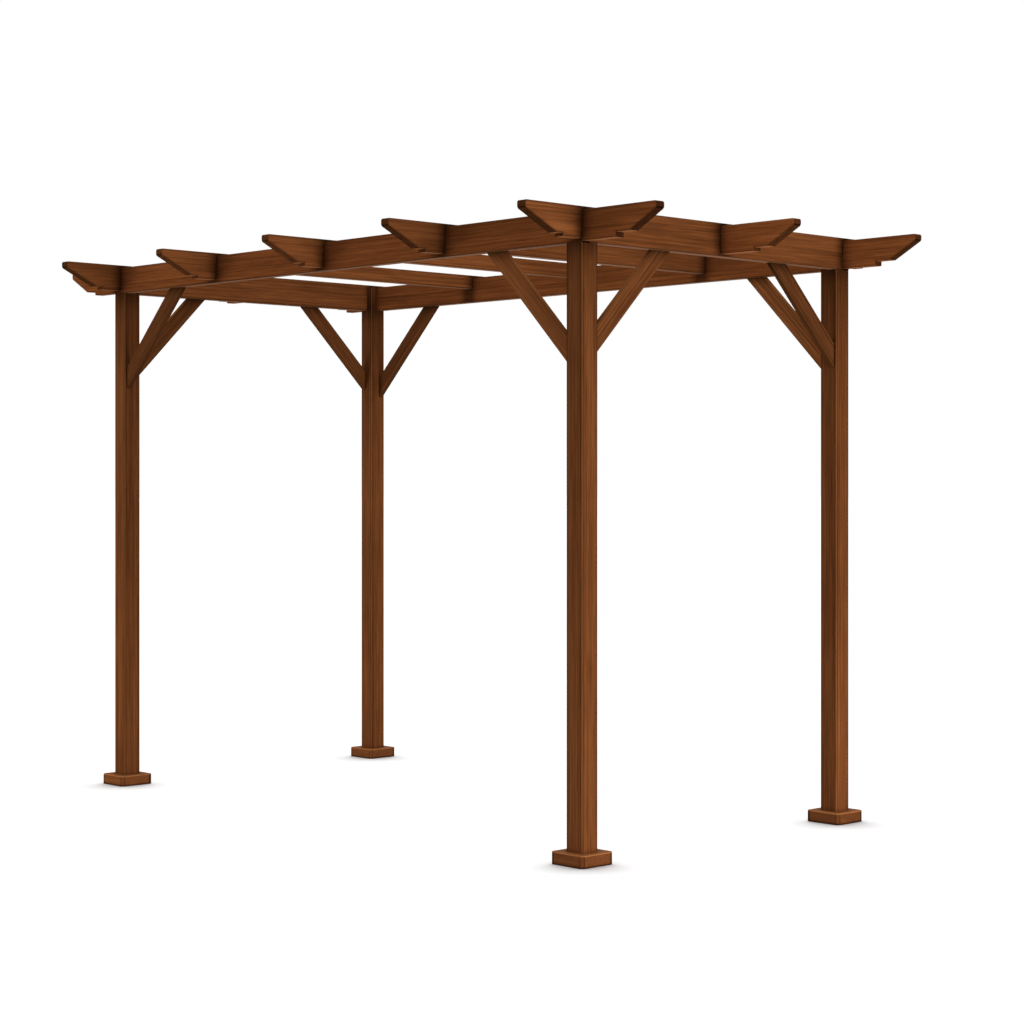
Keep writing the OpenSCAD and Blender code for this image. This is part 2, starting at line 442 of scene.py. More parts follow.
# Rings that keep faces flat: above the foot, below and beyond the top edge, and round the post
FOOT_RING, SIDE_RINGS, TOP_RINGS, POST_RING = 0.005, (0.008, 0.002), (0.002, 0.010), 0.004


def base_rings():
    """Half width, corner cut and height of each ring, from the broken edge at the foot over a
    quarter circle at the top edge to the bottom of the socket, and which rings are near the post."""
    h, s = BASE / 2, POST / 2
    side, top, hole = BASE_HIGH - TOP_ROUND, h - TOP_ROUND, s + SOCKET_PLAY
    turn = np.linspace(0, np.pi / 2, TOP_ARC)
    stops = [(h - FOOT_BREAK, 0.0), (h, FOOT_BREAK), (h, FOOT_RING)]
    stops += [(h, side - below) for below in SIDE_RINGS]
    stops += zip(h - TOP_ROUND * (1 - np.cos(turn)), BASE_HIGH - TOP_ROUND * (1 - np.sin(turn)))
    stops += [(top - beyond, BASE_HIGH) for beyond in TOP_RINGS]
    stops += [(s + POST_RING, BASE_HIGH), (hole, BASE_HIGH), (hole, BASE_HIGH - SOCKET)]
    half, height = np.array(stops).T
    inner = half < (h + s) / 2
    cut = np.where(inner, POST_CHAMFER, CORNER_CUT - CUT_TAPER * (h - half))
    return half, cut, height, inner


print("base block with", len(base_rings()[0]), "rings")

# %% Base blocks
# Values of `edge`: plain faces, upright corner lines, and wider dark lines that are painted shade
PLAIN, UPRIGHT_ARRIS, CORNER_PAINTED_SHADE = 0.8, 0.95, 1.0
ARC_SHARE = 0.42
ARRIS_POINTS = len(STRAIGHT) + np.array([1, 2, 5, 6])
PAINTED_SHADE_POINTS = len(STRAIGHT) + np.array([-1, 0, 1, 2, 5, 6, 7, 8])
# The two corners, by their quarter of the section, that get wider lines of painted shade
PAINTED_SHADE_CORNERS = (0, 2)


def base_edges(half, height, inner, count):
    """Distance to the middle of the top arc, which lies ARC_SHARE of its radius inside the sharp
    edge. On upright rings the points where the facets begin and end mark the corner lines."""
    h = BASE / 2
    drop = np.abs(np.hypot(h - half, BASE_HIGH - height) - TOP_ROUND * ARC_SHARE)
    drop[inner] = 1.0
    edge = np.minimum(np.tile(drop[:, None], (1, count)) / EDGE_BAND, PLAIN)
    upright = np.flatnonzero(np.isclose(half, h))
    corner, point = np.divmod(np.arange(count), count // 4)
    # Wider dark lines of painted shade on two of the corners
    wide = np.isin(corner, PAINTED_SHADE_CORNERS) & np.isin(point, PAINTED_SHADE_POINTS)
    edge[np.ix_(upright, np.isin(point, ARRIS_POINTS))] = UPRIGHT_ARRIS
    edge[np.ix_(upright, wide)] = CORNER_PAINTED_SHADE
    return edge


def base(name, sx, sy):
    """The cut square at the half width, corner cut and height of each ring."""
    half, cut, height, inner = base_rings()
    flat = np.stack([cut_square(a, b) for a, b in zip(half, cut)])
    up = np.broadcast_to(height[:, None, None], flat.shape[:2] + (1,))
    centre = np.array([sx * SPAN_X / 2, sy * SPAN_Y / 2])
    rings = np.concatenate([flat + centre, up], axis=2)
    grain = np.concatenate([flat, up], axis=2) + np.r_[0.0, pith()]
    return skin(name, rings, grain, base_edges(half, height, inner, flat.shape[1]), any_plank())


for where, (sx, sy) in CORNERS.items():
    piece, volume = base(where + "_base_block", sx, sy)
    stands_for(piece, where + "_base", "base_wood")
    print(piece.name, "volume", round(volume * 1000, 3), "litres")

# %% [markdown]
# ## Sawn boards
# Beams, rafters and braces are sawn from boards: a side view with notches and stepped ends, cut
# through the thickness. Here the side view is a list of corners. Insetting it gives the smaller
# rings for the eased edges, and a short curve at every corner takes the sharpness off. A Bevel
# modifier could ease the edges too, but then we would not know the distance to the arris, which
# the finish needs.

# %% Outlines of boards
ARC = 5
SPACING, LONGEST_GUARD = 0.05, 0.3


def corner_normals(corners):
    """Directions along the edges before and after each corner, and the inward normals of both."""
    before = corners - np.roll(corners, 1, axis=0)
    before = before / np.linalg.norm(before, axis=1, keepdims=True)
    after = np.roll(before, -1, axis=0)
    left = np.array([[0, 1], [-1, 0]])
    return before, after, before @ left, after @ left


def inset(corners, depth):
    """Moves all edges of a counter-clockwise outline inwards: p + depth (n1 + n2) / (1 + n1 . n2)."""
    _, _, n1, n2 = corner_normals(corners)
    return corners + depth * (n1 + n2) / (1 + np.sum(n1 * n2, axis=1, keepdims=True))


def softened(corners, soft, stations):
    """Rounds each corner p with the curve (1-t)^2 a + 2t(1-t) p + t^2 b, a and b lying `soft` before
    and after it, and goes straight to the next corner through the given shares of that line."""
    before, after, _, _ = corner_normals(corners)
    a, b = corners - soft[:, None] * before, corners + soft[:, None] * after
    t = np.linspace(0, 1, ARC)[:, None, None]
    curve = (1 - t) ** 2 * a + 2 * t * (1 - t) * corners + t ** 2 * b
    stop = np.roll(a, -1, axis=0)
    run = [b[i] + (stop[i] - b[i]) * s[:, None] for i, s in enumerate(stations)]
    return np.concatenate([line for i in range(len(corners)) for line in (curve[:, i], run[i])])


def share_out(corners, soft):
    """Shares along each straight edge: one GUARD from either end, to keep the face flat, and even
    ones between them, about SPACING apart."""
    sides = np.linalg.norm(np.roll(corners, -1, axis=0) - corners, axis=1)
    lengths = sides - soft - np.roll(soft, -1)
    ends = np.minimum(GUARD / lengths, LONGEST_GUARD)
    counts = np.maximum((lengths / SPACING).astype(int), 0) + 2
    return [np.linspace(e, 1 - e, c) for e, c in zip(ends, counts)]


unit = np.array([[0, 0], [1, 0], [1, 1], [0, 1]], float)
print("a unit square inset by a tenth:", inset(unit, 0.1).tolist())

# %% [markdown]
# ## Boards in place
# The outline is carried across the thickness, and at both broad faces it is inset along a quarter
# circle. Each board is drawn in its own plane. Moving and turning an object would put it in place
# too, but the finish has to know where in the pergola a point lies, so `along_x` and `along_y` put
# the points themselves there.

# %% Boards in place
EASE, SOFT = 0.0040, 0.0030
NOSE_SOFT, NOSE_LEAST = 0.009, 0.002


def eased_section(thick):
    """Inset, depth and distance to the arris for the rings from one broad face to the other."""
    mid = (1 - math.sqrt(0.5)) * EASE
    shrink = np.array([EDGE_BAND, EASE + GUARD, EASE, mid, 0.0, 0.0, 0.0])
    through = np.array([0.0, 0.0, 0.0, mid, EASE, EASE + GUARD, EDGE_BAND])
    away = np.minimum(np.abs(shrink - through) / EDGE_BAND, 1.0)
    through = np.r_[through, thick - through[::-1]]
    return np.r_[shrink, shrink[::-1]], through, np.r_[away, away[::-1]]


def board(name, corners, thick, place, lean=0.0, tip=np.inf):
    """Rings from one broad face to the other: the outline inset by `shrink` at the depth `through`.
    place(s, z, t) puts outline and depth into the pergola, lean turns the grain in the outline's
    plane, and corners as far out as `tip` are rounder than the others."""
    corners = np.asarray(corners, float)
    x, y = corners.T
    if np.sum(x * np.roll(y, -1) - np.roll(x, -1) * y) < 0:
        corners = corners[::-1]
    shrink, through, away = eased_section(thick)
    nose = np.abs(corners[:, 0]) > tip - MERGE
    soft = [np.where(nose, max(NOSE_SOFT - e, NOSE_LEAST), SOFT) for e in shrink]
    stations = share_out(corners, np.where(nose, NOSE_SOFT, SOFT))
    outline = np.stack([softened(inset(corners, e), r, stations) for e, r in zip(shrink, soft)])
    s, z = outline[..., 0], outline[..., 1]
    t = np.broadcast_to(through[:, None], s.shape)
    rings = np.stack(place(s, z, t), axis=2)
    mid = np.array([0.0, corners[:, 1].max() / 2])
    if lean:
        mid = (corners.min(axis=0) + corners.max(axis=0)) / 2
    along = (s - mid[0]) * math.cos(lean) + (z - mid[1]) * math.sin(lean)
    across = (z - mid[1]) * math.cos(lean) - (s - mid[0]) * math.sin(lean)
    off = pith()
    grain = np.stack([along, across + off[0], t - thick / 2 + off[1]], axis=2)
    edge = np.tile(away[:, None], (1, s.shape[1]))
    return skin(name, rings, grain, edge, any_plank())


def along_x(y, thick):
    """Outline in X and height, depth in Y, around the line at y."""
    return lambda s, z, t: (s, y + thick / 2 - t, HEAD + z)


def along_y(x, thick):
    """Outline in Y and height, depth in X, around the line at x."""
    return lambda s, z, t: (x - thick / 2 + t, s, HEAD + z)


print("boards have", len(eased_section(BEAM_THICK)[0]), "rings and edges eased by", EASE, "m")

# %% [markdown]
# ## Stepped tails
# Beams and rafters end in decorative tails of one kind: the root is cut back a little, then come
# a small step, a flat, a long slope and a short upright nose. A tail could be a piece of its own,
# but on the real timber it is sawn from the same board. So tails and notches are part of the
# outline, and one walk round the corners draws the whole member.

# %% Stepped tails
def tail(tip, length, deep, lift, slope, step):
    """Corners of the tail on the positive side, from its root out to the top of the nose."""
    root, foot, knee = tip - length, tip - length * step, tip - length * slope
    flat = deep * STEP
    return [(root, lift), (foot, lift), (foot, flat), (knee, flat), (tip, deep * (1 - NOSE)), (tip, deep)]


def mirrored(points):
    """The same corners on the other side, in the order that goes on round the outline."""
    return [(-a, b) for a, b in points[::-1]]


def notch(middle, wide, mouth, floor_at):
    """Four corners of a square notch, walked from right to left along the edge it is cut into."""
    a, b = middle + wide / 2, middle - wide / 2
    return [(a, mouth), (a, floor_at), (b, floor_at), (b, mouth)]


BEAM_TAIL = tail(TIP_X, TIP_X - OUT_X, BEAM_DEEP, BEAM_LIFT, BEAM_SLOPE, BEAM_STEP)
MIDDLE_TAIL = tail(TIP_X, TIP_X - OUT_X, BEAM_DEEP, MIDDLE_LIFT, BEAM_SLOPE, BEAM_STEP)
RAFTER_TAIL = tail(TIP_Y, TIP_Y - OUT_Y, RAFTER_DEEP, RAFTER_LIFT, RAFTER_SLOPE, RAFTER_STEP)
print("beam tail", round(TIP_X - OUT_X, 4), "m, rafter tail", round(TIP_Y - OUT_Y, 4), "m")

# %% [markdown]
# ## Beams
# The front and back beams are notched from above wherever a rafter crosses, and how deep each notch
# goes depends on the rafter. A beam tail also stands at the middle of either end, as a short piece
# fixed to the outside of the end rafter. All four are boards along X, so one loop makes them.

# %% Beams
notches = []
for x, seat in zip(RAFTER_X[::-1], SEAT[::-1]):
    notches += notch(x, RAFTER_THICK, BEAM_DEEP, seat)
beam_outline = [(OUT_X, 0.0)] + BEAM_TAIL + notches + mirrored(BEAM_TAIL) + [(-OUT_X, 0.0)]
right_stub = MIDDLE_TAIL + [(OUT_X, BEAM_DEEP)]
BEAMS = {
    "front_beam": (-EDGE_Y, beam_outline), "back_beam": (EDGE_Y, beam_outline),
    "left_middle_tail": (0.0, mirrored(right_stub)), "right_middle_tail": (0.0, right_stub),
}
for node, (y, outline) in BEAMS.items():
    place = along_x(y, BEAM_THICK)
    piece, volume = board(node + "_timber", outline, BEAM_THICK, place, tip=TIP_X)
    stands_for(piece, node, "beam_wood")
    print(piece.name, "volume", round(volume * 1000, 2), "litres")

# %% [markdown]
# ## Rafters
# End rafters are notched from below over the two beams. The inner rafters are hooked over the
# outside of the beams: only their tails are full depth, and the right one is deeper than the others.
# Copies of one rafter would not fit, so each gets its own underside and shares the two tails.

# %% Rafters
RAFTERS = ("left_end_rafter", "left_rafter", "middle_rafter", "right_rafter", "right_end_rafter")


def rafter_outline(node, seat):
    """Both tails, then the underside: a seat over each beam with full depth between, or one long
    cut-away at the height of the seat."""
    below = [(OUT_Y, seat)]
    if "_end_" in node:
        below += [(OUT_Y - BEAM_THICK, seat), (OUT_Y - BEAM_THICK, 0.0)]
    return below[::-1] + RAFTER_TAIL + mirrored(RAFTER_TAIL) + mirrored(below[::-1])


for node, x, seat in zip(RAFTERS, RAFTER_X, SEAT):
    place = along_y(x, RAFTER_THICK)
    piece, volume = board(node + "_timber", rafter_outline(node, seat), RAFTER_THICK, place, tip=TIP_Y)
    stands_for(piece, node, "rafter_wood")
    print(piece.name, "volume", round(volume * 1000, 2), "litres")

# %% [markdown]
# ## Knee braces
# Each post has two braces at 45 degrees, one under the beam and one under the end rafter. Their
# ends are cut to lie flat on the post and under the roof. A turned copy of a straight stick would
# need its ends trimmed, while as a board only the four corners of the side view are needed, and the
# grain is told to run along the slope.

# %% Knee braces
def brace_outline(face, lean, leg):
    """From the post face at `face` up to the roof, going in the direction `lean` on the outline."""
    cut = BRACE_DEEP * math.sqrt(2)
    return [(face, -leg), (face, cut - leg), (face + lean * (leg - cut), 0.0), (face + lean * leg, 0.0)]


for where, (sx, sy) in CORNERS.items():
    for kind, side, face, leg, place in (
        ("beam", sx, SPAN_X / 2 - POST / 2, BEAM_LEG, along_x(sy * EDGE_Y, BRACE_THICK)),
        ("rafter", sy, SPAN_Y / 2 - POST / 2, RAFTER_LEG, along_y(sx * END_X, BRACE_THICK)),
    ):
        node = where + "_" + kind + "_brace"
        outline = brace_outline(side * face, -side, leg)
        piece, volume = board(node + "_timber", outline, BRACE_THICK, place, -side * math.pi / 4)
        stands_for(piece, node, "brace_wood")
        print(piece.name, "volume", round(volume * 1000, 3), "litres")

# %% [markdown]
# ## Words for nodes
# A finish is a tree of shader nodes. It could be drawn in the Shader Editor, but in a script it can
# be made five times with other settings. Making and joining a node takes four or five lines each
# time, so this class keeps one material and has a short word for each kind of node.

# %% Words for nodes
class Tree:
    """Makes and joins the nodes of one material."""

    def __init__(self, name):
        self.mat = bpy.data.materials.new(name)
        self.mat.use_nodes = True
        self.nodes, self.links = self.mat.node_tree.nodes, self.mat.node_tree.links
        self.shader = self.nodes["Principled BSDF"]

    def node(self, kind, **settings):
        """A new node with the given settings."""
        made = self.nodes.new(kind)
        for key, value in settings.items():
            setattr(made, key, value)
        return made

    def feed(self, socket, value):
        """Joins a socket to another one, or sets it to a constant."""
        if isinstance(value, bpy.types.NodeSocket):
            self.links.new(value, socket)
        else:
            socket.default_value = value

    def math(self, operation, *values):
        """A sum, a product or another operation on sockets and constants."""
        made = self.node("ShaderNodeMath", operation=operation)
        for socket, value in zip(made.inputs, values):
            self.feed(socket, value)
        return made.outputs[0]

    def attribute(self, name, output="Fac"):
        """What is stored at the points under a name."""
        return self.node("ShaderNodeAttribute", attribute_name=name).outputs[output]

    def axis(self, vector, number):
        """One part of a vector: 0 is X, 1 is Y and 2 is Z."""
        made = self.node("ShaderNodeSeparateXYZ")
        self.links.new(vector, made.inputs[0])
        return made.outputs[number]

    def noise(self, vector, plank, scale, detail, rough):
        """A cloudy pattern from 0 to 1, squeezed by `scale` along each axis and another on each plank."""
        stretched = self.node("ShaderNodeMapping")
        self.links.new(vector, stretched.inputs["Vector"])
        stretched.inputs["Scale"].default_value = scale
        made = self.node("ShaderNodeTexNoise", noise_dimensions="4D")
        self.links.new(stretched.outputs[0], made.inputs["Vector"])
        self.links.new(plank, made.inputs["W"])
        made.inputs["Scale"].default_value = 1.0
        made.inputs["Detail"].default_value = detail
        made.inputs["Roughness"].default_value = rough
        return made.outputs["Fac"]

    def ramp(self, value, stops):
        """A colour for each value, blended between stops of (position, colour)."""
        made = self.node("ShaderNodeValToRGB")
        band = made.color_ramp.elements
        while len(band) < len(stops):
            band.new(0.5)
        for element, (at, colour) in zip(band, stops):
            element.position, element.color = at, colour
        self.links.new(value, made.inputs[0])
        return made.outputs["Color"]

    def curve(self, value, stops):
        """The same with numbers in place of colours."""
        return self.ramp(value, [(at, (v, v, v, 1.0)) for at, v in stops])

    def mix(self, share, first, second):
        """The first colour, giving way to the second as the share goes from 0 to 1."""
        made = self.node("ShaderNodeMix", data_type="RGBA")
        socket = {s.identifier: s for s in made.inputs}
        self.links.new(share, socket["Factor_Float"])
        self.feed(socket["A_Color"], first)
        self.feed(socket["B_Color"], second)
        return next(s for s in made.outputs if s.identifier == "Result_Color")


print("words for nodes:", [word for word in vars(Tree) if not word.startswith("_")])

# %% [markdown]
# ## Stain
# The timbers wear a brown stain, as pale as honey where little went in and nearly black where it is
# thick. Colours could be written as the shader's own numbers, but those are linear light and hard to
# read. So they are written as on a paint chart, from 0 to 255, and converted.

# %% Stain
STAIN = (
    (0.10, (66, 33, 12)), (0.36, (96, 53, 24)), (0.55, (117, 66, 31)),
    (0.78, (138, 82, 41)), (0.98, (158, 99, 55)),
)
# Pale colours: rubbing with painted highlight and light, painted reflection, painted light on tails
PALE_WEAR_AND_LIGHT, UNDERSIDE_REFLECTION, TAIL_UNDERSIDE_LIGHT = (180, 116, 68), (192, 140, 108), (205, 132, 78)


def stain(rgb, tint=(1.0, 1.0, 1.0)):
    """A paint-chart colour as linear light, ((c + 0.055) / 1.055) ^ 2.4, times a tint."""
    c = np.array(rgb) / 255.0
    linear = np.where(c <= 0.04045, c / 12.92, ((c + 0.055) / 1.055) ** 2.4)
    return (*(linear * tint).tolist(), 1.0)


print("middle stain in linear light:", [round(v, 3) for v in stain(STAIN[2][1])])

# %% [markdown]
# ## Grain
# Close up, softwood has growth rings, long streaks where the stain went in deeper, fine fibres, and
# slow clouds of lighter and darker wood. A wood texture node draws rings only. Here noises in the
# `grain` place inside the log, stretched along it, make one layer each, so the faces and the cut
# ends of a timber fit together. The rings count the distance to the pith, and a slow noise lets
# them wander.

# %% Grain
RING, WANDER = 0.006, 4.0
LATE_WOOD = [(0.0, 0.35), (0.55, 0.62), (0.86, 0.15), (1.0, 0.35)]
# Each noise: how often it repeats in a metre along, across and through the log, detail, roughness
NOISES = {
    "wander": ((0.9, 9.0, 9.0), 2.0, 0.5),
    "streak": ((1.4, 125.0, 125.0), 3.0, 0.6),
    "patch": ((3.2, 30.0, 30.0), 2.0, 0.5),
    "fibre": ((8.0, 340.0, 340.0), 3.0, 0.6),
    "cloud": ((1.3, 8.0, 8.0), 2.0, 0.5),
}
# Each layer: its share of the tone and its own middle value
SHARES = {
    "late": (0.08, 0.4), "streak": (0.85, 0.5), "patch": (0.24, 0.5), "fibre": (0.75, 0.5),
    "cloud": (0.40, 0.5),
}


def grain_layers(t, plank):
    """The noises, and `late`: the fraction of distance to the pith / RING + WANDER x noise, drawn
    as a soft rise and a sharp fall."""
    grain = t.attribute("grain", "Vector")
    layers = {name: t.noise(grain, plank, *settings) for name, settings in NOISES.items()}
    flat = t.node("ShaderNodeVectorMath", operation="MULTIPLY")
    t.links.new(grain, flat.inputs[0])
    flat.inputs[1].default_value = (0.0, 1.0, 1.0)
    away = t.node("ShaderNodeVectorMath", operation="LENGTH")
    t.links.new(flat.outputs[0], away.inputs[0])
    count = t.math("DIVIDE", away.outputs["Value"], RING)
    rings = t.math("FRACT", t.math("MULTIPLY_ADD", layers["wander"], WANDER, count))
    layers["late"] = t.curve(rings, LATE_WOOD)
    return layers


def tone_of(t, layers, contrast):
    """0.5 + contrast x the sum of share x (layer - middle)."""
    tone = 0.5 - contrast * sum(share * middle for share, middle in SHARES.values())
    for name, (share, _) in SHARES.items():
        tone = t.math("MULTIPLY_ADD", layers[name], share * contrast, tone)
    return tone


print("layers of the grain:", list(SHARES))

# %% [markdown]
# ## Light and dark places
# On each timber the wood is darker beside the arrises, painted shade darkens the inner corners of
# the joints, and the stain is thicker on cut ends. The arris is paler from rubbing by hands and
# weather, with a painted highlight there too. Slopes and tops that face up are paler as painted
# light from above, undersides as a painted reflection of the floor, and tails beyond the posts as
# painted light. All of that could be painted by hand on an image. Here it follows from what a point
# knows: its `edge`, its place, and the way it faces.

# %% Light and dark places
# How much of a painted reflection pales undersides, and how much painted light brightens tails
PAINTED_UNDERSIDE_SHARE, TAIL_PAINTED_LIGHT = 0.45, 1.20
IS_LEVEL = [(0.93, 0.0), (0.98, 1.0)]


def darkness(t, place, facing, arris, joints, tails, ends):
    """Arris x painted joint shade x cut ends, and the painted reflection on undersides with its
    share. Slanting undersides count as ends; with tails = (axis, limit), so do faces that look along
    the axis, and beyond the limit all is TAIL_PAINTED_LIGHT times lighter, painted light on tails out of
    the roof's shade, and their undersides take a painted light of their own."""
    down = t.math("MULTIPLY", t.axis(facing, 2), -1.0)
    # Darker beside the arris, and painted shade at the joints
    dark = t.math("MULTIPLY", t.curve(t.attribute("edge"), arris), joints(t, place))
    slanting = t.curve(down, [(0.15, 1.0), (0.35, ends), (0.93, ends), (0.98, 1.0)])
    dark = t.math("MULTIPLY", dark, slanting)
    # A painted reflection of the floor on level undersides
    painted_underside = stain(UNDERSIDE_REFLECTION)
    if tails is not None:
        axis, limit = tails
        # Beyond the posts the tails are painted lighter, as out of the roof's shade, and lit underneath
        beyond = t.math("GREATER_THAN", t.math("ABSOLUTE", t.axis(place, axis)), limit)
        nose = t.math("ABSOLUTE", t.axis(facing, axis))
        dark = t.math("MULTIPLY", dark, t.curve(nose, [(0.60, 1.0), (0.85, ends)]))
        dark = t.math("MULTIPLY", dark, t.math("MULTIPLY_ADD", beyond, TAIL_PAINTED_LIGHT - 1.0, 1.0))
        painted_underside = t.mix(beyond, painted_underside, stain(TAIL_UNDERSIDE_LIGHT))
    # How much of the painted reflection pales level undersides
    share = t.math("MULTIPLY", t.curve(down, IS_LEVEL), PAINTED_UNDERSIDE_SHARE)
    return dark, painted_underside, share


def wear_and_painted_light(t, facing, patch, dark, rub, slopes, tops):
    """The larger of arrises paled by rubbing and a painted highlight, in patches, and of slopes and
    tops that face up, paler as painted light from above, outside dark places.
    """
    # Rubbing on the arris, with a painted highlight
    rub_and_highlight = t.math("MULTIPLY", t.curve(t.attribute("edge"), rub), t.math("ADD", patch, 0.5))
    # Painted light from above on slopes and tops that face up
    stops = [(0.45, 0.0), (0.60, slopes), (0.75, slopes), (0.85, tops), (1.0, tops)]
    lit_from_above = t.curve(t.axis(facing, 2), stops)
    return t.math("MAXIMUM", rub_and_highlight, t.math("MULTIPLY", lit_from_above, dark))


# The share of the painted reflection on level undersides
print("undersides are", round(PAINTED_UNDERSIDE_SHARE * 100), "percent bare")

# %% [markdown]
# ## Stained wood
# Now the layers are put together. The tone picks a stain from the ramp, the dark places and the
# painted shade scale it, and places pale from rubbing, with painted highlights, painted light on
# faces that look up and a painted reflection on undersides are mixed in. Each plank is a little
# lighter or darker than the next by its own number, and each timber by the painted light and shade
# stored before as `depth`. Varnish would need a glossy coat, but this stain soaks in and leaves no
# film, so the finish is nearly matt and the fibres make a fine bump.

# %% Stained wood
PLANK_STEP, PLANK_LEAST, PLANK_SWAY = 7.31, 0.94, 0.12
ROUGH_LEAST, ROUGH_SWAY, SPECULAR = 0.82, 0.16, 0.02
BUMP_STRENGTH, BUMP_HEIGHT, STREAK_BUMP = 0.35, 0.0008, 0.6


def stained_wood(name, arris, rub, joints, tails=None, ends=0.38, slopes=0.0, tops=0.0,
                 contrast=1.0, strength=1.0, tint=(1.0, 1.0, 1.0)):
    """Stain(tone) x dark places and painted shade x painted light and shade of this timber and
    plank, then rubbing, painted highlights, painted light from above and a painted reflection mixed in.
    """
    t = Tree(name)
    plank = t.attribute("plank")
    place = t.node("ShaderNodeTexCoord").outputs["Object"]
    facing = t.node("ShaderNodeNewGeometry").outputs["Normal"]
    layers = grain_layers(t, plank)
    wood = t.ramp(tone_of(t, layers, contrast), [(at, stain(rgb, tint)) for at, rgb in STAIN])
    dark, painted_underside, painted_underside_share = darkness(t, place, facing, arris, joints, tails, ends)
    own = t.math("FRACT", t.math("MULTIPLY", plank, PLANK_STEP))
    sway = t.math("MULTIPLY_ADD", own, PLANK_SWAY * strength, PLANK_LEAST * strength)
    # `depth` scales each timber by its painted light and shade
    sway = t.math("MULTIPLY", sway, t.attribute("depth"))
    shade = t.node("ShaderNodeVectorMath", operation="SCALE")
    t.links.new(wood, shade.inputs[0])
    t.links.new(t.math("MULTIPLY", dark, sway), shade.inputs["Scale"])
    wear_and_light_share = wear_and_painted_light(t, facing, layers["patch"], dark, rub, slopes, tops)
    # Rubbing and painted highlights on arrises, and painted light on faces that look up, mixed in
    colour = t.mix(wear_and_light_share, shade.outputs[0], stain(PALE_WEAR_AND_LIGHT))
    # A painted reflection of the floor pales level undersides
    t.links.new(t.mix(painted_underside_share, colour, painted_underside), t.shader.inputs["Base Color"])
    rough = t.math("MULTIPLY_ADD", layers["fibre"], ROUGH_SWAY, ROUGH_LEAST)
    t.links.new(rough, t.shader.inputs["Roughness"])
    t.shader.inputs["Specular IOR Level"].default_value = SPECULAR
    bump = t.node("ShaderNodeBump")
    bump.inputs["Strength"].default_value = BUMP_STRENGTH
    bump.inputs["Distance"].default_value = BUMP_HEIGHT
    ridges = t.math("MULTIPLY_ADD", layers["streak"], STREAK_BUMP, layers["fibre"])
    t.links.new(ridges, bump.inputs["Height"])
    t.links.new(bump.outputs[0], t.shader.inputs["Normal"])
    return t.mat


print("stained wood: roughness", ROUGH_LEAST, "to", round(ROUGH_LEAST + ROUGH_SWAY, 2))

# %% [markdown]
# ## Painted shade in the corners of the roof
# Where two timbers meet, the corner lies in shade, and that shade is painted into the colour. An
# Ambient Occlusion node could find such corners, but it is slow, and it changes with whatever else
# stands near. So each kind of timber gets a small function: from a place in the pergola it works
# out the distance to the nearest joint, and from that how dark the painted shade makes the wood.

# %% Dark corners of the roof
# How far painted shade reaches from a joint, and how dark it is on the way
JOINT_REACH = 0.060
JOINT_SHADE_CURVE = [(0.0, 0.34), (0.3, 0.62), (0.65, 0.90), (1.0, 1.0)]
END_FACE = 0.005


def joint_shade(t, distance):
    """Painted shade: dark at the joint, back to normal at JOINT_REACH."""
    return t.curve(t.math("DIVIDE", distance, JOINT_REACH), JOINT_SHADE_CURVE)


def beam_joint_shade(t, place):
    """Rafters cross at every multiple of the rafter spacing; a ping-pong folds them onto one."""
    near = t.math("PINGPONG", t.axis(place, 0), END_X / 4)
    return joint_shade(t, t.math("SUBTRACT", near, RAFTER_THICK / 2))


def rafter_joint_shade(t, place):
    """The two beams cross at +-EDGE_Y; on the outside of an end rafter a short tail meets it at 0,
    and everywhere further in, 1 m is added to the distance from that tail."""
    along = t.math("ABSOLUTE", t.axis(place, 1))
    beam = t.math("ABSOLUTE", t.math("SUBTRACT", along, EDGE_Y))
    inside = t.math("LESS_THAN", t.math("ABSOLUTE", t.axis(place, 0)), OUT_X - END_FACE)
    near = t.math("MINIMUM", beam, t.math("ADD", along, inside))
    return joint_shade(t, t.math("SUBTRACT", near, BEAM_THICK / 2))


def brace_roof_shade(t, place):
    """Painted shade on a brace, dark right under the roof."""
    return joint_shade(t, t.math("SUBTRACT", HEAD, t.axis(place, 2)))


print("joints darken the wood up to", JOINT_REACH, "m away")

# %% [markdown]
# ## Painted shade on posts and blocks
# A post is painted darkest right under the roof, as in its shade, and lighter all the way down.
# Thin lines of painted shade lie where it enters the base block, and where the block meets the
# floor. They are found in the same way, from the height and from the distance to the post.

# %% Dark places of posts and blocks
# Painted shade down a post: how dark it is at each share of the height below the roof
POST_SHADE = [(0.0, 0.28), (0.01, 0.36), (0.03, 0.54), (0.06, 0.62), (0.10, 0.67), (0.22, 0.79),
              (0.30, 0.83), (0.50, 0.84), (0.70, 0.94), (0.85, 1.0)]
# Reach and darkness of the thin lines of painted shade
POST_FOOT, POST_FOOT_LINE = 0.015, [(0.0, 0.75), (1.0, 1.0)]
BLOCK_FOOT, BLOCK_FOOT_LINE = 0.010, [(0.0, 0.16), (0.5, 0.45), (1.0, 1.0)]
BLOCK_TOP, BLOCK_TOP_LINE = 0.030, [(0.0, 0.35), (0.4, 0.75), (1.0, 1.0)]


def post_painted_shade(t, place):
    """Painted shade from the distance below the roof, as a share of its height, and from the
    height above the block.
    """
    height = t.axis(place, 2)
    below = t.math("DIVIDE", t.math("ABSOLUTE", t.math("SUBTRACT", HEAD, height)), HEAD)
    above = t.math("DIVIDE", t.math("SUBTRACT", height, BASE_HIGH), POST_FOOT)
    return t.math("MULTIPLY", t.curve(below, POST_SHADE), t.curve(above, POST_FOOT_LINE))


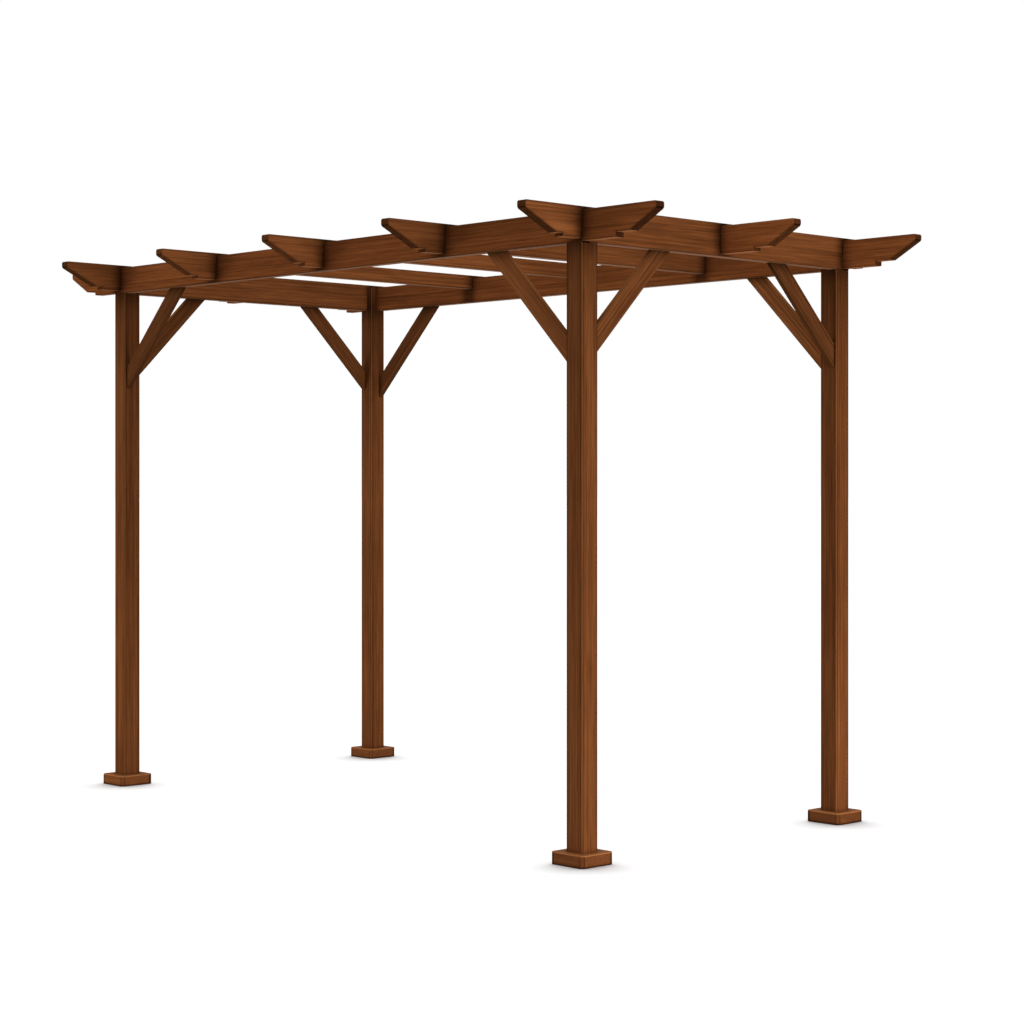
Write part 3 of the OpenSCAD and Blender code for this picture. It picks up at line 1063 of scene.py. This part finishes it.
def block_painted_shade(t, place):
    """Painted shade from the height above the floor, and from the distance to the post: the larger of
    the distances from its axis in X and Y, less half the post."""
    above = t.math("DIVIDE", t.axis(place, 2), BLOCK_FOOT)
    off = []
    for axis, middle in ((0, SPAN_X / 2), (1, SPAN_Y / 2)):
        across = t.math("ABSOLUTE", t.axis(place, axis))
        off.append(t.math("ABSOLUTE", t.math("SUBTRACT", across, middle)))
    beside = t.math("DIVIDE", t.math("SUBTRACT", t.math("MAXIMUM", *off), POST / 2), BLOCK_TOP)
    return t.math("MULTIPLY", t.curve(above, BLOCK_FOOT_LINE), t.curve(beside, BLOCK_TOP_LINE))


print("dark lines:", POST_FOOT, "m on a post,", BLOCK_FOOT, "m on a block")

# %% [markdown]
# ## Finishes
# Every kind of timber was planed and handled in its own way. Curves over `edge` say how dark the
# wood is beside an arris and how pale the arris is, from rubbing, with a painted highlight: on posts
# a thin dark line runs beside a pale chamfer, the base blocks are palest, and boards only a little.
# One material for all would be shorter, but it would lose these differences.

# %% Finishes
PLANED = [(0.0, 1.0), (0.28, 1.0), (0.31, 0.42), (0.55, 0.62), (0.85, 0.95), (1.0, 1.0)]
SQUARE = [(0.0, 0.80), (0.40, 0.80), (0.70, 0.95), (1.0, 1.0)]
# On blocks the last stop is the painted shade on two corners
BLOCK = [(0.0, 1.0), (0.82, 1.0), (0.95, 0.40), (1.0, 0.20)]
# How pale an arris is, from rubbing with a painted highlight
POST_RUB_HIGHLIGHT = [(0.0, 0.18), (0.26, 0.14), (0.31, 0.0), (1.0, 0.0)]
BOARD_RUB_HIGHLIGHT = [(0.0, 0.10), (0.30, 0.04), (0.50, 0.0), (1.0, 0.0)]
BLOCK_RUB_HIGHLIGHT = [(0.0, 0.80), (0.18, 0.60), (0.32, 0.0), (1.0, 0.0)]
# `tops` and `slopes`: how much painted light from above pales faces that look up
FINISHES = {
    "post_wood": {
        "arris": PLANED, "rub": POST_RUB_HIGHLIGHT, "joints": post_painted_shade,
        "strength": 1.14, "tint": (1.0, 1.06, 1.25)},
    "base_wood": {
        "arris": BLOCK, "rub": BLOCK_RUB_HIGHLIGHT, "joints": block_painted_shade, "tops": 0.55,
        "contrast": 0.6, "strength": 1.10, "tint": (1.0, 1.08, 1.40)},
    "beam_wood": {
        "arris": SQUARE, "rub": BOARD_RUB_HIGHLIGHT, "joints": beam_joint_shade, "tails": (0, OUT_X),
        "ends": 0.20, "tint": (1.03, 1.01, 1.12)},
    "rafter_wood": {
        "arris": SQUARE, "rub": BOARD_RUB_HIGHLIGHT, "joints": rafter_joint_shade, "tails": (1, OUT_Y),
        "strength": 0.92, "tint": (1.0, 1.06, 1.25)},
    "brace_wood": {
        "arris": SQUARE, "rub": BOARD_RUB_HIGHLIGHT, "joints": brace_roof_shade, "ends": 1.0, "slopes": 0.5,
        "contrast": 1.2, "strength": 1.04, "tint": (1.0, 1.08, 1.30)},
}
for slot, settings in FINISHES.items():
    finish = stained_wood(slot, **settings)
    for piece in wears[slot]:
        piece.data.materials.append(finish)
    print(slot, "on", len(wears[slot]), "pieces")

# %% [markdown]


# %% [markdown]
